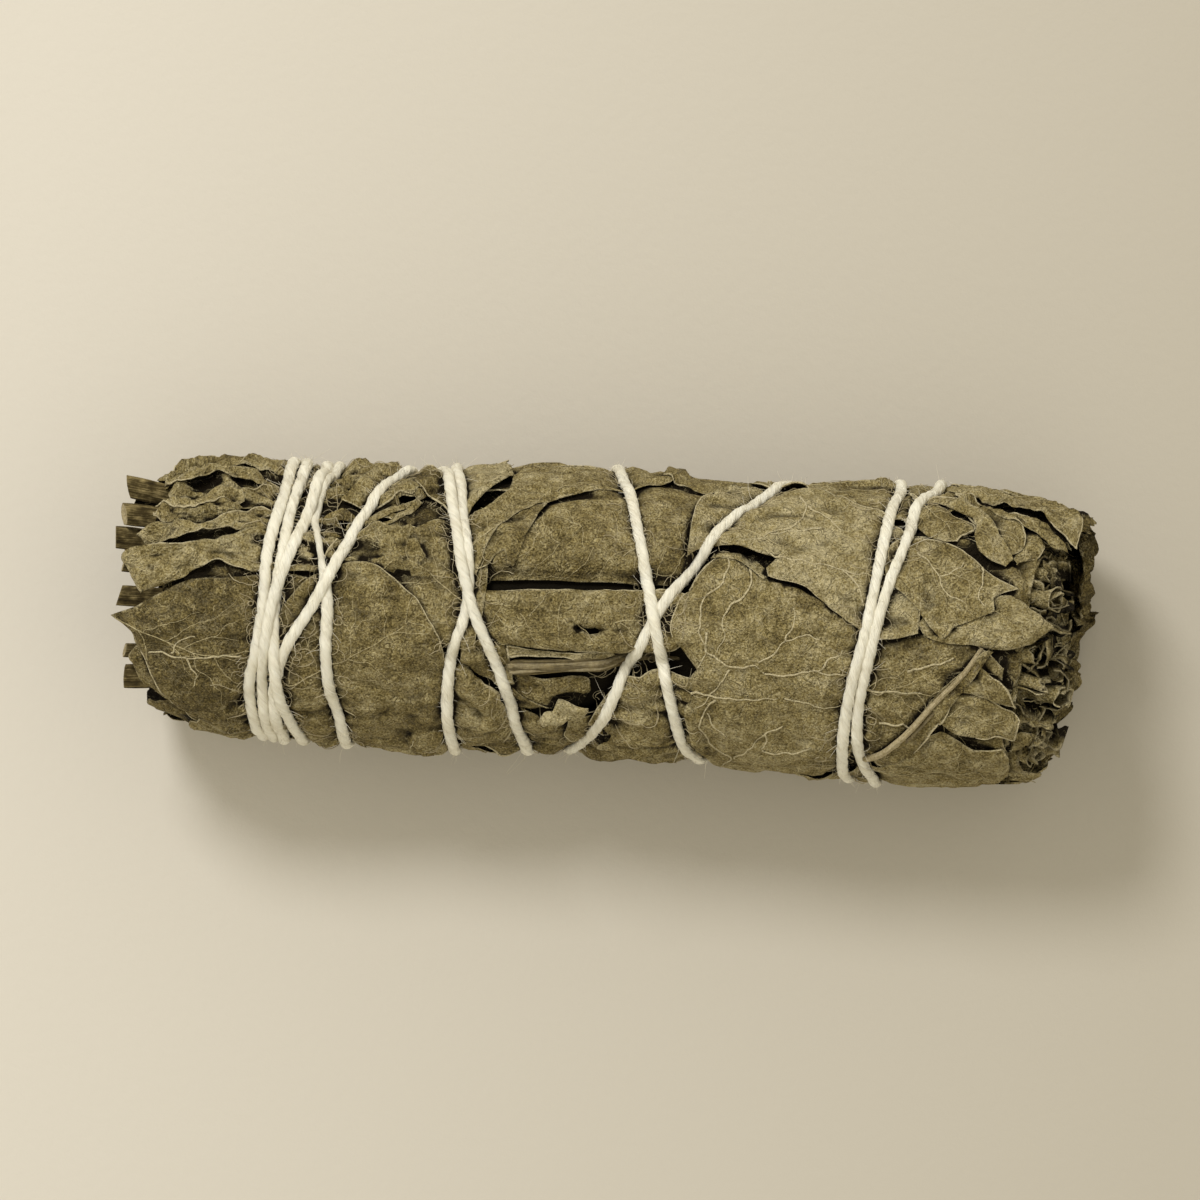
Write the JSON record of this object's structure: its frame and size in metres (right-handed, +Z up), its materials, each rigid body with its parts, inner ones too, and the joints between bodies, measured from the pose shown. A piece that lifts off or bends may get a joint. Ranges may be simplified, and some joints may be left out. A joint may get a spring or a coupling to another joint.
{
  "type": "eucalyptus smudge stick",
  "caption": "Bundle of dried leafy twigs wrapped in leaves and wound with natural cotton string, lying on its side.",
  "frame": {"origin": "bottom centre of the bundle's bounding box, on the surface that it lies on", "axes": "+X along the stick from the stem ends to the cut leaf ends, +Y across it, +Z up"},
  "size_m": [0.1041, 0.0335, 0.0335],
  "materials": {
    "leaf": "dry, matt olive-brown leaf with fine veins",
    "stem": "dry woody twig, bark lengthwise ribbed",
    "string": "undyed plied cotton, slightly fuzzy"
  },
  "bodies": {
    "root": {"bottom_leaf_left": "leaf", "bottom_leaf_right": "leaf", "cotton_string": "string", "crumpled_leaf_1": "leaf", "crumpled_leaf_2": "leaf", "crumpled_leaf_3": "leaf", "crumpled_leaf_4": "leaf", "dark_smooth_leaf": "leaf", "far_leaf_left": "leaf", "far_leaf_middle": "leaf", "far_leaf_right": "leaf", "folded_leaf_top": "leaf", "inner_leaf_right": "leaf", "largest_leaf": "leaf", "leaf_below_slit": "leaf", "leaf_pack_1": "leaf", "leaf_pack_2": "leaf", "leaf_pack_3": "leaf", "leaf_pack_4": "leaf", "leaf_pack_5": "leaf", "leaf_pack_6": "leaf", "leaf_with_tail": "leaf", "left_end_leaf": "leaf", "lower_leaf_middle": "leaf", "middle_leaf_roll": "leaf", "midrib": "stem", "near_leaf_left": "leaf", "near_leaf_middle": "leaf", "near_leaf_right": "leaf", "pointed_leaf": "leaf", "resting_leaf_left": "leaf", "resting_leaf_middle": "leaf", "resting_leaf_right": "leaf", "rim_leaf_lower": "leaf", "rim_leaf_middle": "leaf", "rim_leaf_upper": "leaf", "rolled_leaf_1": "leaf", "rolled_leaf_2": "leaf", "rounded_leaf": "leaf", "side_leaf_left": "leaf", "smooth_leaf": "leaf", "stem_1": "stem", "stem_2": "stem", "stem_3": "stem", "stem_4": "stem", "stem_5": "stem", "stem_6": "stem", "stem_7": "stem", "stem_8": "stem", "stem_9": "stem", "stem_in_slit": "stem", "string_knot": "string", "top_leaf_right": "leaf", "triangular_leaf": "leaf", "underside_leaf_left": "leaf", "underside_leaf_middle": "leaf", "underside_leaf_right": "leaf", "upper_leaf_middle": "leaf", "upper_leaf_right": "leaf", "veined_leaf": "leaf"}
  },
  "joints": []
}
